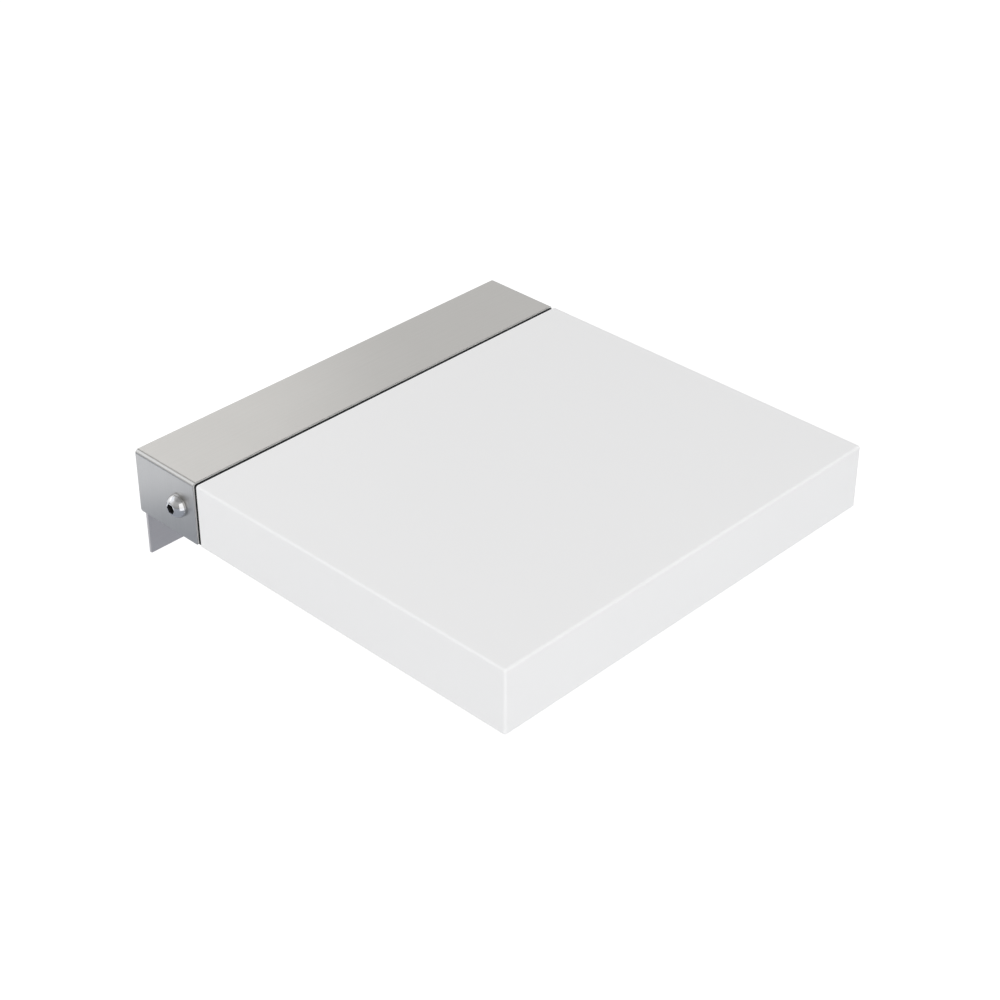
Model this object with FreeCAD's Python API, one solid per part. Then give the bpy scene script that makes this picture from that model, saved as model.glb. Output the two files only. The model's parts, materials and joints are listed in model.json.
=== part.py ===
import FreeCAD, Part
import math
import os

from FreeCAD import Vector

# Fold-down wall seat, in millimetres, seat down.
# The wall is the plane Y = 0 and the room lies towards -Y. X runs along the wall, +Z is up.
# The origin is the middle of the wall plate's back face, where the fixing holes are centred.

# Seat as a whole
seat_width = 360.0
seat_thickness = 50.5

# Hinge cover, one folded sheet
cover_depth = 63.5
cover_sheet = 1.5
cover_bend_r = 3.2
cheek_height = 50.8
cheek_corner_r = 2.0
cheek_front_r = 1.2

# Board, a hollow box with a thick top and four aprons
board_depth = 293.5
board_top_t = 12.0
board_apron_t = 12.0
board_edge_r = 2.0
board_rear_edge_r = 0.5
board_foot_edge_r = 1.0
joint_gap = 3.5

# Seal in the joint between cover and board
seal_recess = 1.2
seal_depth = 7.0

# Pivot
pivot_drop = 25.15
axle_d = 20.0
bush_wall = 2.0
bush_flange_t = 2.0
bush_length = 9.0
housing_wall = 3.0
housing_length = 20.0
hub_wall = 5.0
hub_clearance = 1.0
running_clearance = 0.05
side_play = 0.3

# Dome-head pivot screws
dome_d = 17.6
dome_height = 7.6
dome_rim = 1.8
dome_flat_d = 8.0
dome_socket_af = 6.0
dome_socket_turn = 30.0
dome_socket_depth = 4.0
pivot_thread_d = 10.0
pivot_thread_length = 20.0
pivot_hole_d = 10.6

# Wall plate and its fixing holes
plate_t = 2.0
plate_inset = 14.3
plate_height = 86.0
plate_top_drop = 15.25
plate_corner_r = 0.5
fixing_to_arm = 19.0
fixing_spacing_z = 60.0
fixing_hole_d = 9.0
fixing_head_room = 6.6

# Hinge arms, welded to the wall plate
hinge_arm_inset = 66.0
hinge_arm_t = 10.0
hinge_arm_foot_margin = 2.7
hinge_arm_root_height = 46.0
hinge_arm_knee = 22.0
hinge_arm_knee_r = 8.0
neck_front = 8.0
neck_margin = 1.0
sweep_clearance = 1.6

# Seat arms, welded on the axle
seat_arm_t = 8.0
seat_arm_hub_wall = 7.0
seat_arm_panel_gap = 1.7
seat_arm_end_height = 14.0
seat_arm_end_gap = 32.0
seat_arm_straight = 60.0
slot_clearance = 0.5

# Seat-down stop
lug_front = 12.0
lug_rear = 5.0
lug_margin = 8.0
stop_drop = 40.0
stop_bar_depth = 12.0
stop_bar_height = 16.0
stop_block_height = 14.0
stop_block_width = 14.0
stop_thread_d = 8.0
stop_screw_length = 28.0
stop_screw_reach = 0.7
stop_socket_af = 4.0
stop_nut_af = 13.0
stop_nut_t = 6.5
contact_gap = 0.3

# Folded position and its buffers
fold_angle = 92.0
buffer_d = 14.0
buffer_to_arm = 49.0

# Mounting plate and tie inside the board
mount_plate_t = 4.0
mount_plate_inset = 58.0
mount_plate_margin = 6.0
mount_plate_corner_r = 8.0
tie_t = 6.0
tie_setback = 4.0

# Screws and inserts that hold the board
board_screw_side_margin = 40.0
board_screw_margin = 20.0
board_thread_d = 6.0
board_thread_length = 8.0
board_head_d = 10.5
board_head_t = 3.3
board_socket_af = 4.0
insert_d = 9.0
insert_length = 9.0
insert_end_gap = 0.5

# Rail that holds the cover
rail_t = 3.0
rail_front = 16.0
rail_rear = 22.0
rail_leg = 22.0
stud_inset = 33.7
stud_offset = 15.0
stud_d = 5.0
stud_length = 13.0
stud_washer_d = 10.0
stud_washer_t = 1.0
stud_nut_af = 8.0
stud_nut_t = 4.0

# Bottom panel, its blocks and screws
panel_t = 5.0
panel_clearance = 0.5
block_size = 18.0
panel_screw_d = 4.0
panel_screw_length = 16.0
panel_head_d = 8.4

# Fits shared by all fasteners
thread_clearance = 0.05
hole_clearance = 0.3

# Places worked out from the sizes above
axle_r = axle_d / 2
bush_r = axle_r + bush_wall
housing_r = bush_r + housing_wall
hub_r = housing_r + hub_wall
pivot_to_board = hub_r + hub_clearance
pivot_setback = cover_depth + joint_gap - pivot_to_board
sweep_r = math.hypot(pivot_setback, pivot_drop)
pivot_y = -(plate_t + fixing_head_room + sweep_r)
seat_top_z = plate_height / 2 + plate_top_drop
pivot_z = seat_top_z - pivot_drop

half_width = seat_width / 2
cover_rear_y = pivot_y + pivot_setback
cover_front_y = cover_rear_y - cover_depth
board_rear_y = cover_front_y - joint_gap
board_front_y = board_rear_y - board_depth
board_bottom_z = seat_top_z - seat_thickness
cavity_half = half_width - board_apron_t
cavity_rear_y = board_rear_y - board_apron_t
cavity_front_y = board_front_y + board_apron_t
cavity_top_z = seat_top_z - board_top_t

hinge_arm_x = half_width - hinge_arm_inset
hinge_arm_inner_x = hinge_arm_x - hinge_arm_t / 2
fixing_x = hinge_arm_inner_x - fixing_to_arm
buffer_x = hinge_arm_inner_x - buffer_to_arm
seat_arm_outer_x = hinge_arm_x - housing_length / 2 - bush_flange_t - side_play
seat_arm_inner_x = seat_arm_outer_x - seat_arm_t
stop_screw_x = seat_arm_inner_x - stop_block_width / 2
stud_x = seat_arm_inner_x - stud_inset
seat_arm_top_z = cavity_top_z - mount_plate_t
panel_top_z = board_bottom_z + panel_t
seat_arm_bottom_z = panel_top_z + seat_arm_panel_gap
seat_arm_end_y = cavity_front_y + seat_arm_end_gap
stop_z = pivot_z - stop_drop
lug_front_y = pivot_y - lug_front
lug_rear_y = pivot_y + lug_rear
stop_face_y = lug_rear_y + stop_screw_reach + contact_gap
stop_back_y = stop_face_y + stop_bar_depth

mount_plate_half = cavity_half - mount_plate_inset
mount_plate_rear_y = cavity_rear_y - mount_plate_margin
mount_plate_front_y = seat_arm_end_y + tie_setback
board_screw_x = mount_plate_half - board_screw_side_margin
cover_inner_z = seat_top_z - cover_sheet


def box(x0, x1, y0, y1, z0, z1):
    return Part.makeBox(x1 - x0, y1 - y0, z1 - z0, Vector(x0, y0, z0))


def rod_x(radius, x0, x1, y, z):
    return Part.makeCylinder(radius, x1 - x0, Vector(x0, y, z), Vector(1, 0, 0))


def rod_y(radius, x, y0, y1, z):
    return Part.makeCylinder(radius, y1 - y0, Vector(x, y0, z), Vector(0, 1, 0))


def rod_z(radius, x, y, z0, z1):
    return Part.makeCylinder(radius, z1 - z0, Vector(x, y, z0), Vector(0, 0, 1))


def hexagon(across_flats, base, direction):
    # Prism on a regular hexagon, with its base centre and its full length as a vector.
    length = direction.Length
    corner_r = across_flats / math.sqrt(3)
    ring = [Vector(corner_r * math.cos(math.radians(60 * i)),
                   corner_r * math.sin(math.radians(60 * i)), 0) for i in range(7)]
    prism = Part.Face(Part.makePolygon(ring)).extrude(Vector(0, 0, length))
    turn = FreeCAD.Rotation(Vector(0, 0, 1), direction)
    prism.Placement = FreeCAD.Placement(base, turn)
    return prism


def side_plate(points, x0, x1):
    # Plate square to X, from its outline in Y and Z.
    corners = [Vector(x0, y, z) for y, z in points]
    outline = Part.makePolygon(corners + corners[:1])
    return Part.Face(outline).extrude(Vector(x1 - x0, 0, 0))


def edges_along(shape, axis, test):
    # Straight edges along an axis whose centre passes a test.
    found = []
    for edge in shape.Edges:
        span = edge.BoundBox
        lengths = [span.XLength, span.YLength, span.ZLength]
        across = [lengths[i] for i in range(3) if i != axis]
        if lengths[axis] > 0.5 and max(across) < 1e-4 and test(edge.CenterOfMass):
            found.append(edge)
    return found


def mirrored(shape):
    return shape.mirror(Vector(0, 0, 0), Vector(1, 0, 0))


def close_to(value, target):
    return abs(value - target) < 1e-3


def hinge_cover():
    # Top and two cheeks, bent from one sheet along the two ends.
    low_z = seat_top_z - cheek_height
    outer = box(-half_width, half_width, cover_front_y, cover_rear_y, low_z, seat_top_z)
    outer = outer.makeFillet(cover_bend_r,
                             edges_along(outer, 1, lambda c: close_to(c.z, seat_top_z)))
    inner_half = half_width - cover_sheet
    inner = box(-inner_half, inner_half, cover_front_y - 1, cover_rear_y + 1,
                low_z - 1, cover_inner_z)
    inner = inner.makeFillet(cover_bend_r - cover_sheet,
                             edges_along(inner, 1, lambda c: close_to(c.z, cover_inner_z)))
    cover = outer.cut(inner)
    rear_corners = edges_along(
        cover, 0, lambda c: close_to(c.y, cover_rear_y) and close_to(c.z, low_z))
    cover = cover.makeFillet(cheek_corner_r, rear_corners)
    front_corners = edges_along(
        cover, 0, lambda c: close_to(c.y, cover_front_y) and close_to(c.z, low_z))
    cover = cover.makeFillet(cheek_front_r, front_corners)
    return cover.cut(rod_x(pivot_hole_d / 2, -half_width - 1, half_width + 1, pivot_y, pivot_z))


def board_screw_places():
    rear_y = mount_plate_rear_y - board_screw_margin
    front_y = mount_plate_front_y + board_screw_margin
    rows = [rear_y, (rear_y + front_y) / 2, front_y]
    return [(x, y) for x in (-board_screw_x, board_screw_x) for y in rows]


def block_places():
    # Centres of the blocks in the board: along both side aprons, front, middle and rear.
    x = cavity_half - block_size / 2
    rear_y = cavity_rear_y - block_size / 2
    front_y = cavity_front_y + block_size / 2
    rows = [rear_y, (rear_y + front_y) / 2, front_y]
    return [(sign * x, y) for sign in (-1, 1) for y in rows]


def seat_shell():
    shell = box(-half_width, half_width, board_front_y, board_rear_y,
                board_bottom_z, seat_top_z)
    upper = edges_along(shell, 2, lambda c: close_to(c.y, board_front_y))
    upper += edges_along(shell, 0, lambda c: close_to(c.z, seat_top_z)
                         and close_to(c.y, board_front_y))
    upper += edges_along(shell, 1, lambda c: close_to(c.z, seat_top_z))
    shell = shell.makeFillet(board_edge_r, upper)
    rear = [e for e in shell.Edges if close_to(e.BoundBox.YMin, board_rear_y)
            and e.BoundBox.ZMax > board_bottom_z + board_foot_edge_r]
    shell = shell.makeFillet(board_rear_edge_r, rear)
    lower = [e for e in shell.Edges if close_to(e.BoundBox.ZMax, board_bottom_z)]
    shell = shell.makeFillet(board_foot_edge_r, lower)
    shell = shell.cut(box(-cavity_half, cavity_half, cavity_front_y, cavity_rear_y,
                          board_bottom_z - 1, cavity_top_z))
    for sign in (-1, 1):
        sides = sorted((sign * (seat_arm_inner_x - slot_clearance),
                        sign * (seat_arm_outer_x + slot_clearance)))
        shell = shell.cut(box(sides[0], sides[1], cavity_rear_y - 1, board_rear_y + 1,
                              board_bottom_z - 1, seat_arm_top_z + slot_clearance))
    for x, y in board_screw_places():
        shell = shell.cut(rod_z(insert_d / 2, x, y, cavity_top_z - 1,
                                cavity_top_z + insert_length + insert_end_gap))
    return shell


def gap_seal():
    outer_half = half_width - seal_recess
    inner_half = outer_half - seal_depth
    top_z = seat_top_z - seal_recess
    seal = box(-outer_half, outer_half, board_rear_y, cover_front_y, board_bottom_z, top_z)
    seal = seal.makeFillet(cover_bend_r - seal_recess,
                           edges_along(seal, 1, lambda c: close_to(c.z, top_z)))
    return seal.cut(box(-inner_half, inner_half, board_rear_y - 1, cover_front_y + 1,
                        board_bottom_z - 1, top_z - seal_depth))


def wall_plate():
    half = half_width - plate_inset
    plate = box(-half, half, -plate_t, 0, -plate_height / 2, plate_height / 2)
    plate = plate.makeFillet(plate_corner_r, edges_along(plate, 1, lambda c: True))
    for x in (-fixing_x, fixing_x):
        for z in (-fixing_spacing_z / 2, fixing_spacing_z / 2):
            plate = plate.cut(rod_y(fixing_hole_d / 2, x, -plate_t - 1, 1, z))
    return plate


def hinge_arm():
    # Hook: foot on the wall plate, neck up to the hub, with the cover's path left free.
    x0 = hinge_arm_inner_x
    x1 = x0 + hinge_arm_t
    foot_z = -plate_height / 2 + hinge_arm_foot_margin
    land_z = foot_z + hinge_arm_root_height
    front_y = pivot_y - neck_front
    rear_y = stop_back_y + neck_margin
    neck = side_plate([(front_y, pivot_z), (rear_y, pivot_z), (rear_y, foot_z),
                       (front_y + hinge_arm_knee, foot_z),
                       (front_y, foot_z + hinge_arm_knee)], x0, x1)
    foot = box(x0, x1, rear_y - 1, -plate_t, foot_z, land_z)
    foot = foot.cut(rod_x(sweep_r + sweep_clearance, x0 - 1, x1 + 1, pivot_y, pivot_z))
    arm = neck.fuse([foot, rod_x(hub_r, x0, x1, pivot_y, pivot_z)]).removeSplitter()
    knee = edges_along(arm, 0, lambda c: close_to(c.y, front_y + hinge_arm_knee)
                       and close_to(c.z, foot_z))
    knee += edges_along(arm, 0, lambda c: close_to(c.y, front_y)
                        and close_to(c.z, foot_z + hinge_arm_knee))
    arm = arm.makeFillet(hinge_arm_knee_r, knee)
    return arm.cut(rod_x(housing_r, x0 - 1, x1 + 1, pivot_y, pivot_z))


def bearing_housing():
    x0 = hinge_arm_x - housing_length / 2
    x1 = hinge_arm_x + housing_length / 2
    tube = rod_x(housing_r, x0, x1, pivot_y, pivot_z)
    return tube.cut(rod_x(bush_r, x0 - 1, x1 + 1, pivot_y, pivot_z))


def bush(outwards):
    # Flanged sleeve pressed in one end of the housing; outwards is 1 or -1 along X.
    mouth_x = hinge_arm_x + outwards * housing_length / 2
    flange = sorted((mouth_x, mouth_x + outwards * bush_flange_t))
    sleeve = sorted((mouth_x, mouth_x - outwards * bush_length))
    body = rod_x(bush_r, sleeve[0], sleeve[1], pivot_y, pivot_z)
    body = body.fuse(rod_x(housing_r, flange[0], flange[1], pivot_y, pivot_z))
    bore = rod_x(axle_r + running_clearance, hinge_arm_x - housing_length,
                 hinge_arm_x + housing_length, pivot_y, pivot_z)
    return body.removeSplitter().cut(bore)


def pivot_axle():
    end_x = half_width - cover_sheet
    axle = rod_x(axle_r, -end_x, end_x, pivot_y, pivot_z)
    tapping_r = pivot_thread_d / 2 + thread_clearance
    depth = pivot_thread_length + thread_clearance + 2 * cover_sheet
    for x0, x1 in ((-end_x - 1, -end_x + depth), (end_x - depth, end_x + 1)):
        axle = axle.cut(rod_x(tapping_r, x0, x1, pivot_y, pivot_z))
    return axle


def pivot_screw():
    # Domed head on the right cheek, with a hexagon socket, and its threaded shank.
    rim_r = dome_d / 2
    flat_r = dome_flat_d / 2
    centre = (dome_height ** 2 + flat_r ** 2 - dome_rim ** 2 - rim_r ** 2) \
        / (2 * (dome_height - dome_rim))
    dome_r = math.hypot(dome_rim - centre, rim_r)
    middle = (math.atan2(rim_r, dome_rim - centre)
              + math.atan2(flat_r, dome_height - centre)) / 2

    def at(along, radius):
        return Vector(half_width + along, pivot_y + radius, pivot_z)

    profile = Part.Wire([
        Part.LineSegment(at(0, 0), at(0, rim_r)).toShape(),
        Part.LineSegment(at(0, rim_r), at(dome_rim, rim_r)).toShape(),
        Part.Arc(at(dome_rim, rim_r),
                 at(centre + dome_r * math.cos(middle), dome_r * math.sin(middle)),
                 at(dome_height, flat_r)).toShape(),
        Part.LineSegment(at(dome_height, flat_r), at(dome_height, 0)).toShape(),
        Part.LineSegment(at(dome_height, 0), at(0, 0)).toShape()])
    head = Part.Face(profile).revolve(at(0, 0), Vector(1, 0, 0), 360)
    if head.Volume < 0:
        head.reverse()
    shank_end_x = half_width - cover_sheet - pivot_thread_length
    screw = head.fuse(rod_x(pivot_thread_d / 2, shank_end_x, half_width + dome_rim,
                            pivot_y, pivot_z)).removeSplitter()
    socket = hexagon(dome_socket_af, at(dome_height - dome_socket_depth, 0),
                     Vector(dome_socket_depth + 1, 0, 0))
    socket.rotate(at(0, 0), Vector(1, 0, 0), dome_socket_turn)
    return screw.cut(socket)


def seat_arm():
    # Bell-crank plate: hub on the axle, arm into the board, stop lug pointing down.
    x0 = seat_arm_inner_x
    x1 = seat_arm_outer_x
    straight_y = cavity_rear_y - seat_arm_straight
    arm = side_plate([(pivot_y, seat_arm_top_z), (seat_arm_end_y, seat_arm_top_z),
                      (seat_arm_end_y, seat_arm_top_z - seat_arm_end_height),
                      (straight_y, seat_arm_bottom_z), (pivot_y, seat_arm_bottom_z)], x0, x1)
    lug = box(x0, x1, lug_front_y, lug_rear_y, stop_z - lug_margin, pivot_z)
    hub = rod_x(axle_r + seat_arm_hub_wall, x0, x1, pivot_y, pivot_z)
    arm = arm.fuse([lug, hub]).removeSplitter()
    return arm.cut(rod_x(axle_r, x0 - 1, x1 + 1, pivot_y, pivot_z))


def stop_bar():
    return box(-hinge_arm_inner_x, hinge_arm_inner_x, stop_face_y, stop_back_y,
               stop_z - stop_bar_height / 2, stop_z + stop_bar_height / 2)


def stop_block():
    half = stop_block_height / 2
    block = box(seat_arm_inner_x - stop_block_width, seat_arm_inner_x,
                lug_front_y, lug_rear_y, stop_z - half, stop_z + half)
    return block.cut(rod_y(stop_thread_d / 2 + thread_clearance, stop_screw_x,
                           lug_front_y - 1, lug_rear_y + 1, stop_z))


def stop_screw():
    tip_y = stop_face_y - contact_gap
    end_y = tip_y - stop_screw_length
    socket_depth = stop_socket_af
    screw = rod_y(stop_thread_d / 2, stop_screw_x, end_y, tip_y, stop_z)
    tip = [e for e in screw.Edges if close_to(e.BoundBox.YMin, tip_y)]
    screw = screw.makeFillet(stop_thread_d / 8, tip)
    return screw.cut(hexagon(stop_socket_af, Vector(stop_screw_x, end_y + socket_depth, stop_z),
                             Vector(0, -socket_depth - 1, 0)))


def lock_nut():
    nut = hexagon(stop_nut_af, Vector(stop_screw_x, lug_front_y, stop_z),
                  Vector(0, -stop_nut_t, 0))
    return nut.cut(rod_y(stop_thread_d / 2 + thread_clearance, stop_screw_x,
                         lug_front_y - stop_nut_t - 1, lug_front_y + 1, stop_z))


def park_buffer():
    # Its face lies just short of the cover's inside when the seat is folded up.
    lean = math.radians(fold_angle - 90)
    low = -stop_drop - buffer_d / 2
    inside = pivot_drop - cover_sheet
    cover_y = pivot_y + (inside + low * math.sin(lean)) / math.cos(lean)
    return rod_y(buffer_d / 2, buffer_x, stop_back_y, cover_y - contact_gap, stop_z)


def mounting_plate():
    plate = box(-mount_plate_half, mount_plate_half, mount_plate_front_y, mount_plate_rear_y,
                seat_arm_top_z, cavity_top_z)
    plate = plate.makeFillet(mount_plate_corner_r, edges_along(plate, 2, lambda c: True))
    for x, y in board_screw_places():
        plate = plate.cut(rod_z(board_thread_d / 2 + hole_clearance, x, y,
                                seat_arm_top_z - 1, cavity_top_z + 1))
    return plate


def front_tie():
    front_y = mount_plate_front_y
    return box(-seat_arm_inner_x, seat_arm_inner_x, front_y, front_y + tie_t,
               seat_arm_top_z - seat_arm_end_height, seat_arm_top_z)


def board_inserts():
    inserts = []
    for x, y in board_screw_places():
        body = rod_z(insert_d / 2, x, y, cavity_top_z, cavity_top_z + insert_length)
        bore = rod_z(board_thread_d / 2 + thread_clearance, x, y,
                     cavity_top_z - 1, cavity_top_z + insert_length + 1)
        inserts.append(body.cut(bore))
    return Part.makeCompound(inserts)


def board_screws():
    screws = []
    for x, y in board_screw_places():
        head_z = seat_arm_top_z - board_head_t
        head = rod_z(board_head_d / 2, x, y, head_z, seat_arm_top_z)
        shank = rod_z(board_thread_d / 2, x, y, head_z, cavity_top_z + board_thread_length)
        screw = head.fuse(shank).removeSplitter()
        socket = hexagon(board_socket_af, Vector(x, y, head_z + board_head_t / 2),
                         Vector(0, 0, -board_head_t))
        screws.append(screw.cut(socket))
    return Part.makeCompound(screws)


def stud_places():
    return [(x, pivot_y + stud_offset) for x in (-stud_x, 0, stud_x)]


def cover_rail():
    # Angle under the cover's top: a flat leg for the studs and an upright leg in front.
    front_y = pivot_y - rail_front
    rail = box(-seat_arm_inner_x, seat_arm_inner_x, front_y, pivot_y + rail_rear,
               cover_inner_z - rail_t, cover_inner_z)
    leg = box(-seat_arm_inner_x, seat_arm_inner_x, front_y, front_y + rail_t,
              cover_inner_z - rail_leg, cover_inner_z)
    rail = rail.fuse(leg).removeSplitter()
    for x, y in stud_places():
        rail = rail.cut(rod_z(stud_d / 2 + hole_clearance, x, y,
                              cover_inner_z - rail_t - 1, cover_inner_z + 1))
    return rail


def cover_studs():
    return Part.makeCompound([rod_z(stud_d / 2, x, y, cover_inner_z - stud_length, cover_inner_z)
                              for x, y in stud_places()])


def cover_washers():
    top_z = cover_inner_z - rail_t
    washers = []
    for x, y in stud_places():
        disc = rod_z(stud_washer_d / 2, x, y, top_z - stud_washer_t, top_z)
        hole = rod_z(stud_d / 2 + hole_clearance, x, y, top_z - stud_washer_t - 1, top_z + 1)
        washers.append(disc.cut(hole))
    return Part.makeCompound(washers)


def cover_nuts():
    top_z = cover_inner_z - rail_t - stud_washer_t
    nuts = []
    for x, y in stud_places():
        nut = hexagon(stud_nut_af, Vector(x, y, top_z), Vector(0, 0, -stud_nut_t))
        bore = rod_z(stud_d / 2 + thread_clearance, x, y, top_z - stud_nut_t - 1, top_z + 1)
        nuts.append(nut.cut(bore))
    return Part.makeCompound(nuts)


def panel_blocks():
    blocks = []
    half = block_size / 2
    for x, y in block_places():
        block = box(x - half, x + half, y - half, y + half, panel_top_z, cavity_top_z)
        pilot = rod_z(panel_screw_d / 2 + thread_clearance, x, y, panel_top_z - 1,
                      board_bottom_z + panel_screw_length + 1)
        blocks.append(block.cut(pilot))
    return Part.makeCompound(blocks)


def countersink(x, y, grow):
    # Cone of a flat head, seated flush in the panel's underside.
    head_r = panel_head_d / 2 + grow
    shank_r = panel_screw_d / 2 + grow
    return Part.makeCone(head_r, shank_r, head_r - shank_r,
                         Vector(x, y, board_bottom_z), Vector(0, 0, 1))


def bottom_panel():
    half = cavity_half - panel_clearance
    panel = box(-half, half, cavity_front_y + panel_clearance, cavity_rear_y - panel_clearance,
                board_bottom_z, panel_top_z)
    for x, y in block_places():
        panel = panel.cut(rod_z(panel_screw_d / 2 + thread_clearance, x, y,
                                board_bottom_z - 1, panel_top_z + 1))
        panel = panel.cut(countersink(x, y, thread_clearance))
    return panel


def panel_screws():
    screws = []
    for x, y in block_places():
        shank = rod_z(panel_screw_d / 2, x, y, board_bottom_z,
                      board_bottom_z + panel_screw_length)
        screw = shank.fuse(countersink(x, y, 0)).removeSplitter()
        socket_depth = panel_screw_d / 2
        socket = hexagon(panel_screw_d / 2, Vector(x, y, board_bottom_z + socket_depth),
                         Vector(0, 0, -socket_depth - 1))
        screws.append(screw.cut(socket))
    return Part.makeCompound(screws)


def export(name, shape):
    for number, solid in enumerate(shape.Solids):
        if not solid.isValid() or solid.Volume <= 0:
            raise ValueError("%s: solid %d isn't sound" % (name, number))
    shape.exportStep(os.path.join("parts", name + ".step"))
    print("%-24s %2d solids %12.1f mm3" % (name, len(shape.Solids), shape.Volume))


def export_pair(name, shape):
    export("right_" + name, shape)
    export("left_" + name, mirrored(shape))


os.makedirs("parts", exist_ok=True)

# Fixed to the wall
export("wall_plate", wall_plate())
export("stop_bar", stop_bar())
export_pair("hinge_arm", hinge_arm())
export_pair("bearing_housing", bearing_housing())
export_pair("inner_bush", bush(-1))
export_pair("outer_bush", bush(1))
export_pair("park_buffer", park_buffer())

# Turning with the seat
export("hinge_cover", hinge_cover())
export("pivot_axle", pivot_axle())
export_pair("pivot_screw", pivot_screw())
export_pair("seat_arm", seat_arm())
export_pair("stop_block", stop_block())
export_pair("stop_screw", stop_screw())
export_pair("lock_nut", lock_nut())
export("mounting_plate", mounting_plate())
export("front_tie", front_tie())
export("cover_rail", cover_rail())
export("cover_studs", cover_studs())
export("cover_washers", cover_washers())
export("cover_nuts", cover_nuts())
export("seat_shell", seat_shell())
export("board_inserts", board_inserts())
export("board_screws", board_screws())
export("gap_seal", gap_seal())
export("bottom_panel", bottom_panel())
export("panel_blocks", panel_blocks())
export("panel_screws", panel_screws())

print("pivot from wall %.2f, above origin %.2f" % (-pivot_y, pivot_z))
print("cover's rear edge from wall %.2f, sweep radius %.2f" % (-cover_rear_y, sweep_r))
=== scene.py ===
import json
import math

import bmesh
import bpy
from bmesh.types import BMEdge, BMFace, BMVert
from bpy.props import FloatProperty, FloatVectorProperty, IntProperty, PointerProperty
from mathutils import Matrix, Vector

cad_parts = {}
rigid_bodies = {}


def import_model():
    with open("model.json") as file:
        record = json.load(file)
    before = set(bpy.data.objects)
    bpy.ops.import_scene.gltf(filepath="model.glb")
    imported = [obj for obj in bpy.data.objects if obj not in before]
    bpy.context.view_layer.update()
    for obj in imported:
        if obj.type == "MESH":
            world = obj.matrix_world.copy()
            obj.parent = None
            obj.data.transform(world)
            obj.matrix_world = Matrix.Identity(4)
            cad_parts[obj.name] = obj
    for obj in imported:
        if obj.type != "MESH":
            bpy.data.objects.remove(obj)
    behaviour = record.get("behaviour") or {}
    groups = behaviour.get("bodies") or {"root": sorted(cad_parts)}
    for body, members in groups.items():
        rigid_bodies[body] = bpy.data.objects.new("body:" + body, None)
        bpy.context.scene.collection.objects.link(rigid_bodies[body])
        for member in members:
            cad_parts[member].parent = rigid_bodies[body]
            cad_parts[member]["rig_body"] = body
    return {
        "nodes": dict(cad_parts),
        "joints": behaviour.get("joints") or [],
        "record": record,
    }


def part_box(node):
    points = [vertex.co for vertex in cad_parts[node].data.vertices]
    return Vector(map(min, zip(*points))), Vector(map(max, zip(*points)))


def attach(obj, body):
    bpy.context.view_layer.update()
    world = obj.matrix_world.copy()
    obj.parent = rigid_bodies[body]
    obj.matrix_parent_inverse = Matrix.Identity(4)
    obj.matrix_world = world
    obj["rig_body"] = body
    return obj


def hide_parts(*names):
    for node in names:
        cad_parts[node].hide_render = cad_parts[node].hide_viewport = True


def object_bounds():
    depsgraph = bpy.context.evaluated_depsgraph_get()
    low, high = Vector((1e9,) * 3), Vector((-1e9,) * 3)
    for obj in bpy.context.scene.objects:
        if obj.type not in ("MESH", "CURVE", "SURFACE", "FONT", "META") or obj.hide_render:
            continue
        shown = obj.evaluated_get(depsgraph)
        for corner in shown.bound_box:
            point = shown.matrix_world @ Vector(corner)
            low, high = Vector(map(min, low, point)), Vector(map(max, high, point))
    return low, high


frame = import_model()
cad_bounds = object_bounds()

bl_info = {
    "name": "Fold-down Wall Seat",
    "version": (1, 0, 0),
    "blender": (4, 5, 0),
    "location": "3D View > Sidebar > Wall Seat",
    "description": "Board, steel cover, hinge mechanism and studio of a fold-down wall seat",
    "category": "Add Mesh",
}

# Everything is in metres in the frame of the construction: the wall is the plane Y = 0, the
# room lies towards -Y, X runs along the wall and +Z is up.
MM = 0.001
TINY = 1e-5
RIGHT_ANGLE = math.radians(90)
FULL_TURN = math.radians(360)
ORIGIN = Vector((0, 0, 0))
X_AXIS = Vector((1, 0, 0))
Y_AXIS = Vector((0, 1, 0))
Z_AXIS = Vector((0, 0, 1))
SIDES = {"left": -1, "right": 1}

slot_of = {part["node"]: part["material_slot"] for part in frame["record"]["subparts"]}
pivot = Vector(frame["joints"][0]["pos_m"])


# Settings that a user would change

def length(name, description, size, least, most):
    """Length whose default, least and greatest value are given in millimetres"""
    return FloatProperty(name=name, description=description, default=size * MM, min=least * MM,
                         max=most * MM, unit="LENGTH", subtype="DISTANCE")


def angle(name, description, degrees):
    return FloatProperty(name=name, description=description, default=math.radians(degrees),
                         unit="ROTATION", subtype="ANGLE")


def share(name, description, part):
    return FloatProperty(name=name, description=description, default=part, min=0, max=1,
                         subtype="FACTOR")


def surface_colour(name, description, red_green_blue):
    return FloatVectorProperty(name=name, description=description, default=red_green_blue, size=3,
                               min=0, max=1, subtype="COLOR")


class BoardSettings(bpy.types.PropertyGroup):
    """Sizes and colour of the white board"""
    edge_radius: length("Edge radius", "Rounding of the board's upper and upright edges",
                        2.0, 0.2, 5)
    rear_radius: length("Rear radius", "Rounding of the board's edges beside the cover",
                        0.5, 0.2, 3)
    foot_radius: length("Foot radius", "Rounding of the board's lower edges", 1.0, 0.2, 3)
    panel_clearance: length("Panel clearance", "Gap all round the bottom panel", 0.5, 0.1, 2)
    colour: surface_colour("Colour", "Colour of the cast board", (0.86, 0.86, 0.863))
    roughness: share("Roughness", "Satin finish of the board", 0.42)


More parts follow.
